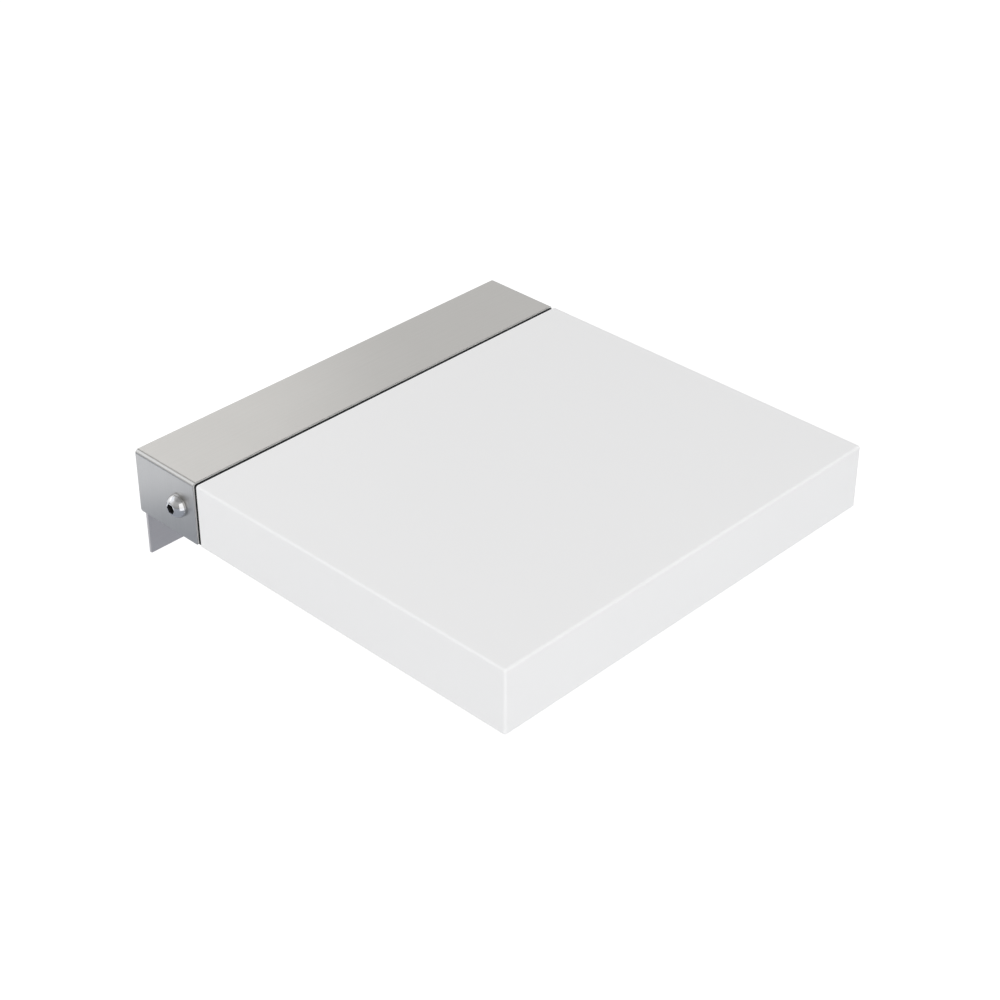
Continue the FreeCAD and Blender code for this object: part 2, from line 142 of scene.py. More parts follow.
class CoverSettings(bpy.types.PropertyGroup):
    """Sizes and colour of the folded steel cover, and the smear that the wall plate shares"""
    sheet: length("Sheet", "Thickness of the folded sheet", 1.5, 0.5, 3)
    bend_radius: length("Bend radius", "Outer radius of the two bends", 3.2, 2, 8)
    rear_corner_radius: length("Rear corner radius", "Rounding of the cheeks' lower rear corners",
                               2.0, 0.3, 6)
    front_corner_radius: length("Front corner radius",
                                "Rounding of the cheeks' lower front corners", 1.2, 0.3, 6)
    outer_edge: length("Outer edge", "Rounding of the cut edges on the outside of the sheet",
                       0.3, 0.1, 1.2)
    inner_edge: length("Inner edge", "Deburring of the cut edges on the inside of the sheet",
                       0.2, 0.05, 0.5)
    bend_steps: IntProperty(name="Bend steps", description="Facets in each bend",
                            default=12, min=3, max=32)
    colour: surface_colour("Colour", "Colour of the brushed stainless steel", (0.603, 0.592, 0.572))
    roughness: share("Roughness", "Mean roughness of the brushed finish", 0.32)
    smear: share("Smear", "How much the brushing draws reflections out across its lines", 0.75)


class ScrewSettings(bpy.types.PropertyGroup):
    """Sizes of the screws, nuts and threads"""
    dome_rim: length("Dome rim", "Height of the straight rim under the dome", 1.8, 0.2, 3)
    dome_flat: length("Dome flat", "Diameter of the flat on top of the dome", 8.8, 6, 16)
    dome_socket: length("Dome socket", "Hexagon socket of the dome-head screws, across flats",
                        6.8, 2, 8)
    dome_turn: angle("Dome turn", "Turn of the dome-head screws' sockets about their axis", 30)
    socket_depth: length("Socket depth", "Depth of the hexagon socket", 4.0, 1, 6)
    stop_pitch: length("Stop screw pitch", "Pitch of the M8 thread of the stop screws",
                       1.25, 0.5, 2)
    stud_pitch: length("Stud pitch", "Pitch of the M5 thread of the cover's studs", 0.8, 0.4, 1)
    round_steps: IntProperty(name="Steps round",
                             description="Facets round a screw, a multiple of six",
                             default=48, min=12, max=96)


class WeldSettings(bpy.types.PropertyGroup):
    """Size of the weld beads on the bracket and the axle"""
    bead: length("Bead", "Radius of the weld beads", 1.6, 0.5, 2.5)
    ripple: length("Ripple", "Distance between the ripples of a bead", 1.1, 0.5, 3)


class StageSettings(bpy.types.PropertyGroup):
    """Camera, floor and light"""
    camera_place: FloatVectorProperty(
        name="Camera place", description="Place of the camera in the seat's frame",
        default=(-0.9280, -1.0944, 0.86265), size=3, unit="LENGTH", subtype="TRANSLATION")
    camera_azimuth: angle("Camera azimuth",
                          "Angle of the camera round the seat, 0 looks along +Y", -45.949)
    camera_elevation: angle("Camera elevation", "Angle of the camera above the horizon", 33.290)
    camera_roll: angle("Camera roll", "Turn of the camera about its own axis", 0.146)
    lens: FloatProperty(
        name="Lens", description="Focal length in millimetres on a sensor 36 mm wide",
        default=78.12, min=10, max=300)
    floor_drop: length("Floor drop", "Distance from the seat's top down to the floor",
                       460, 200, 2000)
    sky_strength: FloatProperty(
        name="Sky strength", description="Light of the white surroundings",
        default=0.72, min=0, max=2)


class WallSeatSettings(bpy.types.PropertyGroup):
    """All settings of the wall seat"""
    board: PointerProperty(type=BoardSettings)
    cover: PointerProperty(type=CoverSettings)
    screws: PointerProperty(type=ScrewSettings)
    welds: PointerProperty(type=WeldSettings)
    stage: PointerProperty(type=StageSettings)


# Mesh helpers

def only(kind, geometry):
    return [item for item in geometry if isinstance(item, kind)]


def all_of(bm):
    return bm.verts[:] + bm.edges[:] + bm.faces[:]


def add_box(bm, low, high):
    placed = Matrix.Translation((low + high) / 2) @ Matrix.Diagonal((*(high - low), 1))
    bmesh.ops.create_cube(bm, size=1, matrix=placed)


def close_rim(bm, rim):
    bmesh.ops.contextual_create(bm, geom=rim)


def face_outwards(bm):
    bmesh.ops.recalc_face_normals(bm, faces=bm.faces)


def edges_where(bm, test):
    """Edges whose middle passes a test"""
    return [e for e in bm.edges if test((e.verts[0].co + e.verts[1].co) / 2)]


def open_rim(bm, test):
    """Edges of an open rim whose height passes a test"""
    return [e for e in bm.edges if e.is_boundary and test(e.verts[0].co.z)]


def sharp_edges(bm, least_angle):
    return [e for e in bm.edges if e.is_manifold and e.calc_face_angle(0) > least_angle]


def round_edges(bm, edges, radius, segments):
    bmesh.ops.bevel(bm, geom=edges, offset=radius, offset_type="OFFSET", segments=segments,
                    profile=0.5, affect="EDGES", clamp_overlap=True, material=-1)


def split_faces(bm, faces, point, normal):
    parts = set(faces)
    for face in faces:
        parts.update(face.edges)
        parts.update(face.verts)
    bmesh.ops.bisect_plane(bm, geom=list(parts), dist=TINY, plane_co=point, plane_no=normal)


def cut_off(bm, point, outwards):
    """Takes away what lies beyond a plane and leaves the cut open"""
    bmesh.ops.bisect_plane(bm, geom=all_of(bm), dist=TINY, plane_co=point, plane_no=outwards,
                           clear_outer=True)


def grow(bm, vert, *steps):
    """Carries a line on from its last vertex by straight steps"""
    for step in steps:
        vert = bmesh.ops.extrude_vert_indiv(bm, verts=[vert])["verts"][0]
        bmesh.ops.translate(bm, verts=[vert], vec=step)
    return vert


def arc(bm, vert, centre, sweep, steps):
    """Carries a line on from its last vertex along an arc about the Y direction"""
    made = bmesh.ops.spin(bm, geom=[vert], cent=centre, axis=Y_AXIS, angle=sweep, steps=steps)
    return only(BMVert, made["geom_last"])[0]


def lathe(bm, edges, steps):
    """Full spin of a profile about Z into a closed shape"""
    geometry = list(edges) + list({v for e in edges for v in e.verts})
    bmesh.ops.spin(bm, geom=geometry, cent=ORIGIN, axis=Z_AXIS, angle=FULL_TURN, steps=steps,
                   use_merge=True)
    bmesh.ops.remove_doubles(bm, verts=bm.verts, dist=TINY)
    face_outwards(bm)


def place(bm, centre, axis):
    """Moves a shape made about +Z at the origin to a centre, with +Z turned to an axis"""
    turn_to_axis = Z_AXIS.rotation_difference(axis).to_matrix().to_4x4()
    bmesh.ops.transform(bm, verts=bm.verts, matrix=Matrix.Translation(centre) @ turn_to_axis)


def place_from_rear(bm, low, high):
    """Lays a shape made about +Z in a box, from the middle of its rear face towards the room"""
    place(bm, Vector(((low.x + high.x) / 2, high.y, (low.z + high.z) / 2)), -Y_AXIS)


def add_shape(target, shape, centre):
    """Adds a shape to another one at a centre and frees it"""
    bmesh.ops.translate(shape, verts=shape.verts, vec=centre)
    mesh = bpy.data.meshes.new("shape")
    shape.to_mesh(mesh)
    shape.free()
    target.from_mesh(mesh)
    bpy.data.meshes.remove(mesh)


def new_object(context, name, data):
    made = bpy.data.objects.new(name, data)
    context.scene.collection.objects.link(made)
    return made


def mesh_object(context, name, bm):
    mesh = bpy.data.meshes.new(name)
    bm.to_mesh(mesh)
    bm.free()
    return new_object(context, name, mesh)


def make_piece(bm, name, like, finish=None, second_finish=None, replaces=(),
               sharp_angle=math.radians(40)):
    """Object from a mesh, riding on the body of the node it is like

    Faces with material index 1 take the second finish.
    """
    for face in bm.faces:
        face.smooth = True
    for edge in bm.edges:
        edge.smooth = edge.is_manifold and edge.calc_face_angle(0) < sharp_angle
    piece = mesh_object(bpy.context, name, bm)
    piece.data.materials.append(finish_material(finish or slot_of[like]))
    if second_finish:
        piece.data.materials.append(finish_material(second_finish))
    level = piece.modifiers.new("Level flats", "WEIGHTED_NORMAL")
    level.keep_sharp = True
    level.weight = 80
    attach(piece, frame["nodes"][like]["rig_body"])
    if replaces:
        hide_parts(*replaces)


# Shader helpers

def shader_node(tree, kind, inputs=None, **settings):
    """Adds a node, sets its settings and fills or links its inputs"""
    made = tree.nodes.new(kind)
    for key, value in settings.items():
        setattr(made, key, value)
    for key, value in (inputs or {}).items():
        if isinstance(value, bpy.types.NodeSocket):
            tree.links.new(value, made.inputs[key])
        else:
            made.inputs[key].default_value = value
    return made


def maths(tree, operation, *values):
    """Result of a calculation with numbers and sockets"""
    return shader_node(tree, "ShaderNodeMath", dict(enumerate(values)),
                       operation=operation).outputs[0]


def ramp(tree, value, start, end, low, high, **settings):
    """Number that goes from low to high while a value goes from start to end"""
    inputs = {0: value, 1: start, 2: end, 3: low, 4: high}
    return shader_node(tree, "ShaderNodeMapRange", inputs, **settings).outputs[0]


def choose(tree, factor, when_0, when_1):
    """Mixes two shaders by a factor"""
    inputs = {0: factor, 1: when_0.outputs[0], 2: when_1.outputs[0]}
    return shader_node(tree, "ShaderNodeMixShader", inputs)


def shade(tree, factor, dark, light):
    """Colour that goes from dark to light with a factor from 0 to 1"""
    inputs = {0: factor, 6: (*dark, 1), 7: (*light, 1)}
    return shader_node(tree, "ShaderNodeMix", inputs, data_type="RGBA").outputs[2]


def scaled(tint, factor):
    return tuple(min(1.0, part * factor) for part in tint)


def new_group(name, inputs, outputs):
    """Empty shader group with a vector, further inputs with their defaults, and outputs"""
    group = bpy.data.node_groups.new(name, "ShaderNodeTree")
    group.interface.new_socket("Vector", in_out="INPUT", socket_type="NodeSocketVector")
    for label, default in inputs.items():
        kind = "NodeSocketVector" if isinstance(default, tuple) else "NodeSocketFloat"
        socket = group.interface.new_socket(label, in_out="INPUT", socket_type=kind)
        socket.default_value = default
    for label in outputs:
        group.interface.new_socket(label, in_out="OUTPUT", socket_type="NodeSocketFloat")
    given = group.nodes.new("NodeGroupInput").outputs
    result = group.nodes.new("NodeGroupOutput").inputs
    return group, given, result


def grain_group():
    """Long fine lines of a brushed or ground surface"""
    group, given, result = new_group("Grain lines", {"Lines": (40, 4000, 40), "Contrast": 0.5},
                                     ("Lines", "Height"))
    stretched = shader_node(group, "ShaderNodeVectorMath",
                            {0: given["Vector"], 1: given["Lines"]}, operation="MULTIPLY")
    noise = shader_node(group, "ShaderNodeTexNoise", {"Vector": stretched.outputs[0], "Scale": 1.0,
                                                      "Detail": 4.0, "Roughness": 0.7})
    fine = noise.outputs["Fac"]
    off_middle = maths(group, "SUBTRACT", fine, 0.5)
    lines = maths(group, "MULTIPLY_ADD", off_middle, given["Contrast"], 0.5)
    group.links.new(lines, result["Lines"])
    group.links.new(fine, result["Height"])
    return group


def cloud_group():
    """Slow change over a surface, as from handling and uneven finishing"""
    group, given, result = new_group("Soft clouds", {"Size": 20.0, "Detail": 3.0}, ("Clouds",))
    noise = shader_node(group, "ShaderNodeTexNoise",
                        {"Vector": given["Vector"], "Scale": given["Size"],
                         "Detail": given["Detail"], "Roughness": 0.55})
    group.links.new(noise.outputs["Fac"], result["Clouds"])
    return group


def fleck_group():
    """Small flecks scattered through a cast or moulded surface"""
    group, given, result = new_group("Flecks", {"Size": 900.0, "Share": 0.12}, ("Flecks",))
    cells = shader_node(group, "ShaderNodeTexVoronoi",
                        {"Vector": given["Vector"], "Scale": given["Size"]}).outputs
    grey = shader_node(group, "ShaderNodeSeparateColor", {0: cells["Color"]}).outputs[0]
    chosen = maths(group, "LESS_THAN", grey, given["Share"])
    near = ramp(group, cells["Distance"], 0.35, 0.05, 0.0, 1.0)
    group.links.new(maths(group, "MULTIPLY", chosen, near), result["Flecks"])
    return group


GROUP_MAKERS = {"Grain lines": grain_group, "Soft clouds": cloud_group, "Flecks": fleck_group}


def use_group(tree, name, at, **inputs):
    """Places a group in a material and gives its outputs"""
    group = bpy.data.node_groups.get(name) or GROUP_MAKERS[name]()
    return shader_node(tree, "ShaderNodeGroup", {"Vector": at, **inputs}, node_tree=group).outputs


def cleared_tree(owner):
    owner.use_nodes = True
    owner.node_tree.nodes.clear()
    return owner.node_tree


def new_material(name):
    """Material with a Principled shader, its tree and the object's own coordinates"""
    material = bpy.data.materials.new(name)
    tree = cleared_tree(material)
    shader = shader_node(tree, "ShaderNodeBsdfPrincipled")
    shader_node(tree, "ShaderNodeOutputMaterial", {"Surface": shader.outputs[0]})
    at = shader_node(tree, "ShaderNodeTexCoord").outputs["Object"]
    return material, tree, shader, at


def fill(tree, shader, tint, roughness, metallic, height, depth, strength=1.0):
    """Fills a shader with what changes over the surface; depth is that of the relief"""
    bump = shader_node(tree, "ShaderNodeBump",
                       {"Height": height, "Distance": depth, "Strength": strength})
    tree.links.new(tint, shader.inputs["Base Color"])
    tree.links.new(roughness, shader.inputs["Roughness"])
    tree.links.new(bump.outputs[0], shader.inputs["Normal"])
    shader.inputs["Metallic"].default_value = metallic


# Finishes

def brushed_steel(name, tint, roughness, lines, across, smear):
    """Steel with fine lines: roughness and colour change a little from line to line

    Lines says how dense they are along each axis. Reflections are drawn out across them, along
    an axis of the object.
    """
    spread = 0.07
    unevenness = 0.2
    material, tree, shader, at = new_material(name)
    drawn = shader_node(tree, "ShaderNodeVectorTransform", {0: across}, vector_type="VECTOR",
                        convert_from="OBJECT", convert_to="WORLD")
    tree.links.new(drawn.outputs[0], shader.inputs["Tangent"])
    shader.inputs["Anisotropic"].default_value = smear
    grain = use_group(tree, "Grain lines", at, Lines=lines, Contrast=1.2)
    clouds = use_group(tree, "Soft clouds", at, Size=14.0, Detail=2.0)
    blend = maths(tree, "MULTIPLY_ADD", clouds[0], 0.35, grain["Lines"])
    line_colour = shade(tree, grain["Lines"], scaled(tint, 1 - spread), scaled(tint, 1 + spread))
    line_roughness = ramp(tree, blend, 0.0, 1.0, roughness * (1 - unevenness),
                          roughness * (1 + unevenness))
    fill(tree, shader, line_colour, line_roughness, 1.0, grain["Height"], 0.01 * MM)
    return material


def brushed_stainless():
    cover = bpy.context.scene.wall_seat.cover
    return brushed_steel("brushed stainless", cover.colour, cover.roughness, (14, 800, 14),
                         Y_AXIS, cover.smear)


def plate_stainless():
    cover = bpy.context.scene.wall_seat.cover
    return brushed_steel("brushed stainless plate", (0.745, 0.712, 0.70), 0.36, (30, 30, 1100),
                         Z_AXIS, cover.smear)


def cut_edge():
    """Bright matt edge of the sheet as cut and deburred, with faint strokes across it"""
    material, tree, shader, at = new_material("cut edge of the sheet")
    strokes = use_group(tree, "Grain lines", at, Lines=(1500, 1500, 1500), Contrast=1.0)
    fill(tree, shader, shade(tree, strokes["Lines"], (0.80, 0.80, 0.79), (0.92, 0.92, 0.91)),
         ramp(tree, strokes["Lines"], 0.0, 1.0, 0.55, 0.75), 0.15, strokes["Height"], 0.02 * MM)
    return material


def polished_stainless():
    material, tree, shader, at = new_material("polished stainless")
    clouds = use_group(tree, "Soft clouds", at, Size=160.0, Detail=4.0)
    marks = use_group(tree, "Grain lines", at, Lines=(900, 2500, 2500), Contrast=1.0)
    fill(tree, shader, shade(tree, clouds[0], (0.60, 0.60, 0.605), (0.66, 0.66, 0.665)),
         ramp(tree, marks["Lines"], 0.0, 1.0, 0.08, 0.14), 1.0, marks["Height"], 0.004 * MM)
    return material


def white_board():
    """Cast solid surface with faint clouds and flecks, sanded to a satin"""
    board = bpy.context.scene.wall_seat.board
    material, tree, shader, at = new_material("white solid surface")
    clouds = use_group(tree, "Soft clouds", at, Size=9.0, Detail=4.0)
    flecks = use_group(tree, "Flecks", at, Size=700.0, Share=0.10)
    sanding = use_group(tree, "Soft clouds", at, Size=1400.0, Detail=4.0)
    cast = shade(tree, clouds[0], scaled(board.colour, 0.994), scaled(board.colour, 1.006))
    fleck_colour = (0.70, 0.70, 0.69, 1)
    flecked = shader_node(tree, "ShaderNodeMix",
                          {0: ramp(tree, flecks[0], 0.0, 1.0, 0.0, 0.10), 6: cast, 7: fleck_colour},
                          data_type="RGBA")
    roughness = ramp(tree, sanding[0], 0.0, 1.0, board.roughness - 0.05, board.roughness + 0.05)
    fill(tree, shader, flecked.outputs[2], roughness, 0.0, sanding[0], 0.01 * MM, strength=0.5)
    shader.inputs["IOR"].default_value = 1.49
    return material


def clouded(name, size, detail, dark, light, roughness, depth, metallic=1.0, specular=0.5,
            relief=None):
    """Finish whose colour and roughness follow soft clouds

    Roughness is its least and greatest value. The clouds also make the relief, unless it is
    given as another group and its inputs.
    """
    material, tree, shader, at = new_material(name)
    clouds = use_group(tree, "Soft clouds", at, Size=size, Detail=detail)[0]
    height = use_group(tree, relief[0], at, **relief[1])[0] if relief else clouds
    fill(tree, shader, shade(tree, clouds, dark, light), ramp(tree, clouds, 0.0, 1.0, *roughness),
         metallic, height, depth)
    shader.inputs["Specular IOR Level"].default_value = specular
    return material


def moulded(name, dark, light, roughness, grain_size, depth, specular=0.5):
    """Rubber or plastic from a mould, with a fine texture"""
    skin = ("Flecks", {"Size": grain_size, "Share": 0.7})
    return clouded(name, 60.0, 4.0, dark, light, (roughness - 0.08, roughness + 0.08), depth,
                   metallic=0.0, specular=specular, relief=skin)


def socket_painted_shade():
    """Inside of a hexagon socket, painted near black for the shade deep in the hole"""
    return clouded("painted socket shade", 700.0, 3.0, (0.02, 0.02, 0.022), (0.06, 0.06, 0.062),
                   (0.45, 0.7), 0.02 * MM, metallic=0.6)


def black_rubber():
    return moulded("black rubber", (0.006, 0.006, 0.006), (0.014, 0.014, 0.015), 0.66, 2600.0,
                   0.02 * MM, specular=0.2)


def bush_plastic():
    return moulded("bearing plastic", (0.10, 0.10, 0.095), (0.16, 0.16, 0.15), 0.38, 3200.0,
                   0.01 * MM)


def block_plastic():
    return moulded("block plastic", (0.55, 0.55, 0.53), (0.66, 0.66, 0.64), 0.55, 1200.0,
                   0.03 * MM)


def frame_steel():
    """Blasted stainless steel of the welded parts"""
    pits = ("Soft clouds", {"Size": 2600.0, "Detail": 3.0})
    return clouded("blasted steel", 45.0, 5.0, (0.42, 0.42, 0.42), (0.54, 0.54, 0.53),
                   (0.38, 0.56), 0.03 * MM, relief=pits)


def fastener_steel():
    """Bright screws and nuts with faint tool marks"""
    return clouded("fastener steel", 220.0, 4.0, (0.52, 0.52, 0.51), (0.63, 0.63, 0.62),
                   (0.20, 0.34), 0.02 * MM)


def insert_brass():
    return clouded("insert brass", 180.0, 4.0, (0.60, 0.44, 0.20), (0.74, 0.58, 0.30),
                   (0.25, 0.40), 0.02 * MM)


FINISH_MAKERS = {maker.__name__: maker for maker in (
    brushed_stainless, plate_stainless, cut_edge, socket_painted_shade, polished_stainless, white_board,
    black_rubber, bush_plastic, block_plastic, frame_steel, fastener_steel, insert_brass)}
made_finishes = {}


def finish_material(finish):
    if finish not in made_finishes:
        made_finishes[finish] = FINISH_MAKERS[finish]()
    return made_finishes[finish]


# Shapes of the pieces

def board_mesh(board):
    """Rounded box, open below, with two slots in its rear wall for the seat arms"""
    slot_clearance = 0.5 * MM
    near_middle = 10 * MM
    straight = 0.99
    low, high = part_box("seat_shell")
    panel_low, panel_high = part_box("bottom_panel")
    mounting_low, mounting_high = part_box("mounting_plate")
    margin = Vector((board.panel_clearance, board.panel_clearance, 0))
    cavity_low = panel_low - margin
    cavity_high = panel_high + margin
    bm = bmesh.new()
    add_box(bm, low, high)

    def at_rear(edge):
        return all(vert.co.y > high.y - TINY for vert in edge.verts)

    upper = [e for e in bm.edges
             if max(v.co.z for v in e.verts) > high.z - TINY and not at_rear(e)]
    round_edges(bm, upper, board.edge_radius, 6)
    rear = [e for e in bm.edges if at_rear(e) and max(v.co.z for v in e.verts) > low.z + TINY]
    round_edges(bm, rear, board.rear_radius, 3)
    round_edges(bm, edges_where(bm, lambda middle: middle.z < low.z + TINY), board.foot_radius, 3)

    def underside():
        return [f for f in bm.faces if f.normal.z < -straight]

    for corner in (cavity_low, cavity_high):
        split_faces(bm, underside(), corner, X_AXIS)
        split_faces(bm, underside(), corner, Y_AXIS)
    centre = (cavity_low + cavity_high) / 2
    mouth = [f for f in underside()
             if (f.calc_center_median().xy - centre.xy).length < near_middle]
    lifted = bmesh.ops.extrude_face_region(bm, geom=mouth)["geom"]
    bmesh.ops.translate(bm, verts=only(BMVert, lifted), vec=Z_AXIS * (mounting_high.z - low.z))
    bmesh.ops.delete(bm, geom=[f for f in mouth if f.is_valid], context="FACES_ONLY")
    slot_top = mounting_low.z + slot_clearance

    def rear_wall():
        return [f for f in bm.faces if f.calc_center_median().y > cavity_high.y - TINY
                and f.calc_center_median().z < high.z - 2 * board.edge_radius]

    for side in SIDES:
        arm_low, arm_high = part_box(side + "_seat_arm")
        slot_sides = (arm_low.x - slot_clearance, arm_high.x + slot_clearance)
        for x in slot_sides:
            split_faces(bm, rear_wall(), (x, 0, 0), X_AXIS)
        upright_faces = [f for f in rear_wall() if abs(f.normal.y) > straight]
        split_faces(bm, upright_faces, (0, 0, slot_top), Z_AXIS)
        gone = [f for f in rear_wall() if slot_sides[0] < f.calc_center_median().x < slot_sides[1]
                and f.calc_center_median().z < slot_top]
        bmesh.ops.delete(bm, geom=gone, context="FACES")
        for x in slot_sides:
            corners = [v for v in bm.verts if v.is_boundary and abs(v.co.x - x) < TINY
                       and abs(v.co.z - slot_top) < TINY]
            bm.edges.new(corners)
        for axis, level in ((0, slot_sides[0]), (0, slot_sides[1]), (2, slot_top)):
            close_rim(bm, [e for e in bm.edges if (e.is_boundary or e.is_wire)
                           and all(abs(v.co[axis] - level) < TINY for v in e.verts)])
    face_outwards(bm)
    return bm


def cover_mesh(cover):
    """One sheet bent down at both ends: a profile with its arcs, drawn out to the cover's depth"""
    cut_angle = math.radians(50)
    slack = 0.1 * MM
    low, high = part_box("hinge_cover")
    bm = bmesh.new()

    def bent_line(inset):
        half = high.x - inset
        top = high.z - inset
        radius = cover.bend_radius - inset
        leg = top - radius - low.z
        start = bm.verts.new((-half, low.y, low.z))
        vert = grow(bm, start, Z_AXIS * leg)
        vert = arc(bm, vert, (-half + radius, low.y, top - radius), RIGHT_ANGLE, cover.bend_steps)
        vert = grow(bm, vert, X_AXIS * 2 * (half - radius))
        vert = arc(bm, vert, (half - radius, low.y, top - radius), RIGHT_ANGLE, cover.bend_steps)
        return start, grow(bm, vert, -Z_AXIS * leg)

    outer_start, outer_end = bent_line(0)
    inner_start, inner_end = bent_line(cover.sheet)
    bm.edges.new((outer_start, inner_start))
    bm.edges.new((outer_end, inner_end))
    close_rim(bm, bm.edges[:])
    drawn = bmesh.ops.extrude_face_region(bm, geom=bm.faces[:])["geom"]
    bmesh.ops.translate(bm, verts=only(BMVert, drawn), vec=Y_AXIS * (high.y - low.y))
    face_outwards(bm)
    for y, radius in ((high.y, cover.rear_corner_radius), (low.y, cover.front_corner_radius)):
        corners = edges_where(bm, lambda c: abs(c.y - y) < TINY and abs(c.z - low.z) < TINY)
        round_edges(bm, corners, radius, 6)

    def outside(vert):
        across = max(abs(vert.co.x) - high.x + cover.bend_radius, 0)
        above = max(vert.co.z - high.z + cover.bend_radius, 0)
        return math.hypot(across, above) > cover.bend_radius - slack

    cut = sharp_edges(bm, cut_angle)
    outer = [e for e in cut if all(map(outside, e.verts))]
    inner = [e for e in cut if not any(map(outside, e.verts))]
    round_edges(bm, outer, cover.outer_edge, 4)
    round_edges(bm, [e for e in inner if e.is_valid], cover.inner_edge, 2)
    for face in bm.faces:
        centre = face.calc_center_median()
        face.material_index = int(centre.y < low.y + TINY or centre.y > high.y - TINY
                                  or centre.z < low.z + TINY)
    return bm


def hex_ring(verts, across_flats, turn_by=0.0):
    """Moves a ring of vertices about Z onto a hexagon with a corner at an angle from X"""
    for vert in verts:
        bearing = math.atan2(vert.co.y, vert.co.x)
        off_flat = (bearing - turn_by) % math.radians(60) - math.radians(30)
        vert.co.xy = vert.co.xy.normalized() * (across_flats / 2 / math.cos(off_flat))


def socket_in(bm, rim, top, across_flats, depth, turn_by=0.0):
    """Hexagon socket cut down from a ring of edges at a height, closed by a shallow cone"""
    chamfer = 0.06 * MM
    cone_tip = 0.02
    hex_ring({v for e in rim for v in e.verts}, across_flats + 2 * chamfer, turn_by)
    for step, shrink in ((-chamfer, 1), (-depth, 1), (-depth - across_flats * 0.12, cone_tip)):
        made = bmesh.ops.extrude_edge_only(bm, edges=rim)["geom"]
        rim = only(BMEdge, made)
        ring = only(BMVert, made)
        # Faces down the socket take the second finish, which paints the shade deep in the hole
        for face in only(BMFace, made):
            face.material_index = 1
        for vert in ring:
            vert.co.z = top + step
            vert.co.xy *= shrink
        if shrink == 1:
            hex_ring(ring, across_flats, turn_by)
    bmesh.ops.remove_doubles(bm, verts=ring, dist=0.5 * MM)


def dome_screw_mesh(side, sign, screws):
    """Domed head with a hexagon socket, and its plain shank in the axle"""
    shank_radius = 5.0 * MM
    rim_chamfer = 0.45 * MM
    tip_chamfer = 1.0 * MM
    socket_margin = 0.15 * MM
    dome_steps = 14
    low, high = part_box(side + "_pivot_screw")
    face_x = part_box("hinge_cover")[1].x
    head_height = high.x - face_x if sign > 0 else -face_x - low.x
    head_radius = (high.z - low.z) / 2
    length_of_screw = high.x - low.x
    flat_radius = screws.dome_flat / 2
    rim = screws.dome_rim
    rise = head_height - rim
    centre_z = rim + (rise ** 2 + flat_radius ** 2 - head_radius ** 2) / (2 * rise)
    rim_angle = math.atan2(head_radius, rim - centre_z)
    flat_angle = math.atan2(flat_radius, head_height - centre_z)
    socket_radius = screws.dome_socket / 2 / math.cos(math.radians(30)) + socket_margin
    bm = bmesh.new()
    vert = bm.verts.new((socket_radius, 0, head_height))
    vert = grow(bm, vert, X_AXIS * (flat_radius - socket_radius))
    vert = arc(bm, vert, (0, 0, centre_z), rim_angle - flat_angle, dome_steps)
    grow(bm, vert,
         -Z_AXIS * (rim - rim_chamfer),
         Vector((-rim_chamfer, 0, -rim_chamfer)),
         X_AXIS * (shank_radius - head_radius + rim_chamfer),
         -Z_AXIS * (length_of_screw - head_height - tip_chamfer),
         Vector((-tip_chamfer, 0, -tip_chamfer)),
         X_AXIS * (tip_chamfer - shank_radius))
    lathe(bm, bm.edges[:], screws.round_steps)
    mouth = open_rim(bm, lambda z: z > head_height - TINY)
    socket_in(bm, mouth, head_height, screws.dome_socket, screws.socket_depth, screws.dome_turn)
    face_outwards(bm)
    place(bm, Vector((sign * face_x, pivot.y, pivot.z)), X_AXIS * sign)
    return bm


def end_ring(bm, rim, height, radius):
    """Next ring of a turned end: a copy of a ring of edges at another height and radius"""
    made = bmesh.ops.extrude_edge_only(bm, edges=rim)["geom"]
    for vert in only(BMVert, made):
        vert.co.xy = vert.co.xy.normalized() * radius
        vert.co.z = height
    return only(BMEdge, made)


def threaded_rod(bm, radius, pitch, height, steps=36):
    """Rod along +Z with a helical thread and chamfered ends; returns the rim of its upper end"""
    depth = 0.6 * pitch
    chamfer = 0.5 * pitch
    flank = 0.44 * pitch
    crest = 0.12 * pitch
    turns = math.ceil(height / pitch) + 2
    vert = bm.verts.new((radius - depth, 0, -pitch))
    grow(bm, vert, (depth, 0, flank), (0, 0, crest), (-depth, 0, flank))
    bmesh.ops.spin(bm, geom=bm.verts[:] + bm.edges[:], cent=ORIGIN, axis=Z_AXIS,
                   dvec=Z_AXIS * pitch / steps, angle=FULL_TURN * turns, steps=steps * turns)
    bmesh.ops.remove_doubles(bm, verts=bm.verts, dist=TINY)
    cut_off(bm, Z_AXIS * chamfer, -Z_AXIS)
    cut_off(bm, Z_AXIS * (height - chamfer), Z_AXIS)
    low_rim = open_rim(bm, lambda z: z < height / 2)
    high_rim = open_rim(bm, lambda z: z > height / 2)
    close_rim(bm, end_ring(bm, low_rim, 0, radius - depth - chamfer / 2))
    return end_ring(bm, high_rim, height, radius - depth - chamfer / 2)


def stop_screw_mesh(node, screws):
    """Threaded stop screw with a hexagon socket in its front end"""
    socket = 4.0 * MM
    socket_depth = 4.0 * MM
    mouth_radius = 2.45 * MM
    low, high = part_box(node)
    bm = bmesh.new()
    rim = threaded_rod(bm, (high.x - low.x) / 2, screws.stop_pitch, high.y - low.y)
    rim = end_ring(bm, rim, high.y - low.y, mouth_radius)
    socket_in(bm, rim, high.y - low.y, socket, socket_depth)
    face_outwards(bm)
    place_from_rear(bm, low, high)
    return bm


